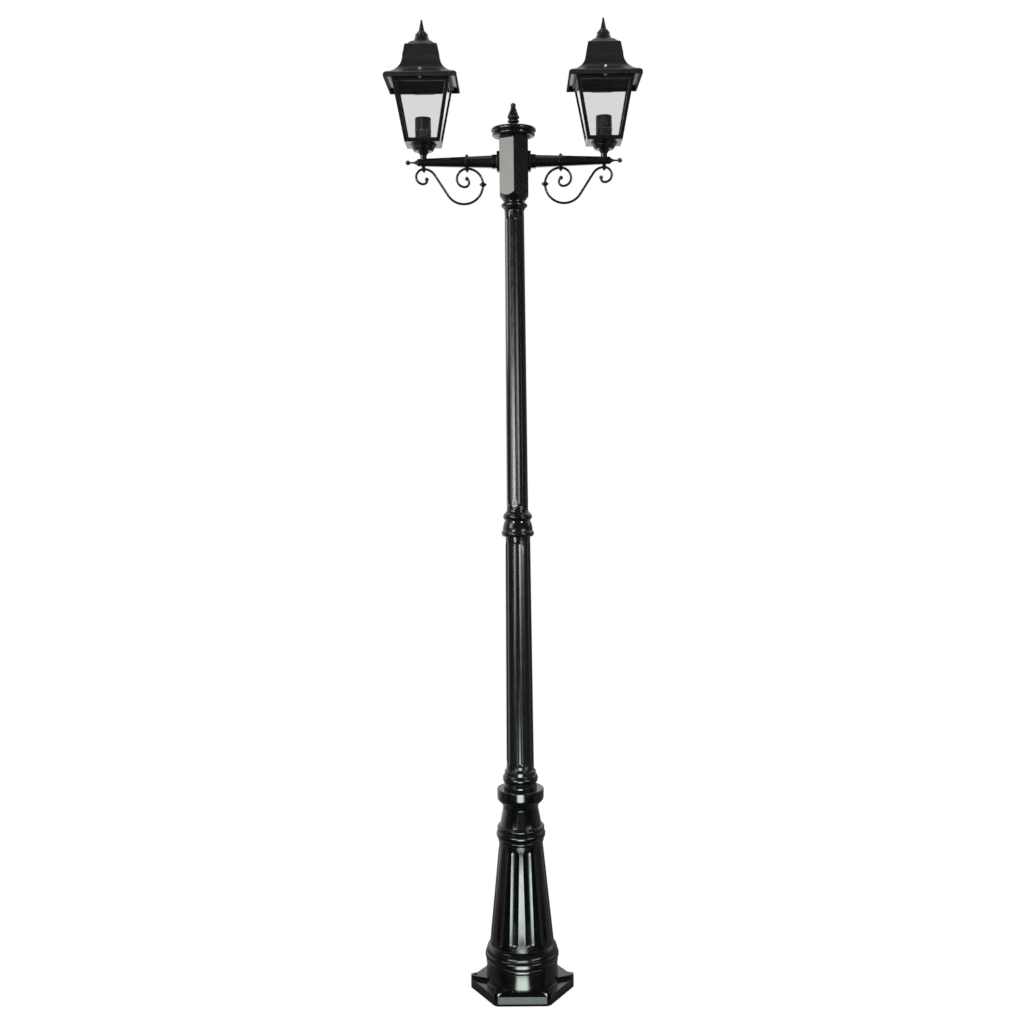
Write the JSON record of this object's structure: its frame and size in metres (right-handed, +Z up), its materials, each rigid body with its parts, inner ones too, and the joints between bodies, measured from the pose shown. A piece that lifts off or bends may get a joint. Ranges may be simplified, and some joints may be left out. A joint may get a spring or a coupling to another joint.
{
  "type": "double head lamp post",
  "caption": "Classical lamp post with a fluted pedestal, tapering shafts, scrolled arms and a glazed four-sided lantern at each end whose hinged roof opens for the lamp.",
  "frame": {"origin": "centre of the base flange on the ground plane", "axes": "+Z up along the post, +X along the right-hand arm seen from the front, front towards -Y"},
  "size_m": [0.726, 0.2736, 2.853],
  "materials": {
    "black_paint": "gloss powder coat",
    "roof_paint": "satin powder coat",
    "clear_glass": "clear float glass",
    "lampholder_plastic": "moulded, matt",
    "stainless_steel": "bright",
    "galvanised_steel": "zinc plated",
    "nipple_brass": "plain",
    "gasket_rubber": "matt",
    "terminal_plastic": "matt"
  },
  "bodies": {
    "post": {"base_pedestal": "black_paint", "base_coupling": "galvanised_steel", "lower_shaft": "black_paint", "coupling_collar": "black_paint", "shaft_coupling": "galvanised_steel", "upper_shaft": "black_paint", "neck_collar": "black_paint", "head_box": "black_paint", "terminal_block": "terminal_plastic", "head_gasket": "gasket_rubber", "head_cap": "black_paint", "cap_finial": "black_paint", "arm_socket_left": "black_paint", "arm_socket_right": "black_paint", "arm_left": "black_paint", "arm_right": "black_paint", "arm_nut_left": "galvanised_steel", "arm_nut_right": "galvanised_steel", "arm_tip_left": "black_paint", "arm_tip_right": "black_paint", "scroll_left": "black_paint", "scroll_right": "black_paint", "scroll_knuckle_left": "black_paint", "scroll_knuckle_right": "black_paint", "inner_clip_left": "black_paint", "inner_clip_right": "black_paint", "outer_clip_left": "black_paint", "outer_clip_right": "black_paint", "lantern_stem_left": "black_paint", "lantern_stem_right": "black_paint", "lantern_nipple_left": "nipple_brass", "lantern_nipple_right": "nipple_brass", "lantern_cup_left": "black_paint", "lantern_cup_right": "black_paint", "lantern_frame_left": "black_paint", "lantern_frame_right": "black_paint", "pane_front_left": "clear_glass", "pane_front_right": "clear_glass", "pane_outer_left": "clear_glass", "pane_outer_right": "clear_glass", "pane_rear_left": "clear_glass", "pane_rear_right": "clear_glass", "pane_inner_left": "clear_glass", "pane_inner_right": "clear_glass", "lampholder_left": "lampholder_plastic", "lampholder_right": "lampholder_plastic", "lampholder_ring_left": "lampholder_plastic", "lampholder_ring_right": "lampholder_plastic", "hinge_pin_left": "stainless_steel", "hinge_pin_right": "stainless_steel", "roof_stud_left": "stainless_steel", "roof_stud_right": "stainless_steel"},
    "left_roof": {"roof_left": "roof_paint", "roof_finial_left": "roof_paint", "roof_nut_left": "stainless_steel"},
    "right_roof": {"roof_right": "roof_paint", "roof_finial_right": "roof_paint", "roof_nut_right": "stainless_steel"}
  },
  "joints": [
    {"name": "left_roof_hinge", "type": "hinge", "parent": "post", "child": "left_roof", "pos_m": [-0.26, 0.092, 2.666], "axis": [-1, 0, 0], "range_deg": [0, 95]},
    {"name": "right_roof_hinge", "type": "hinge", "parent": "post", "child": "right_roof", "pos_m": [0.26, 0.092, 2.666], "axis": [-1, 0, 0], "range_deg": [0, 95]}
  ]
}
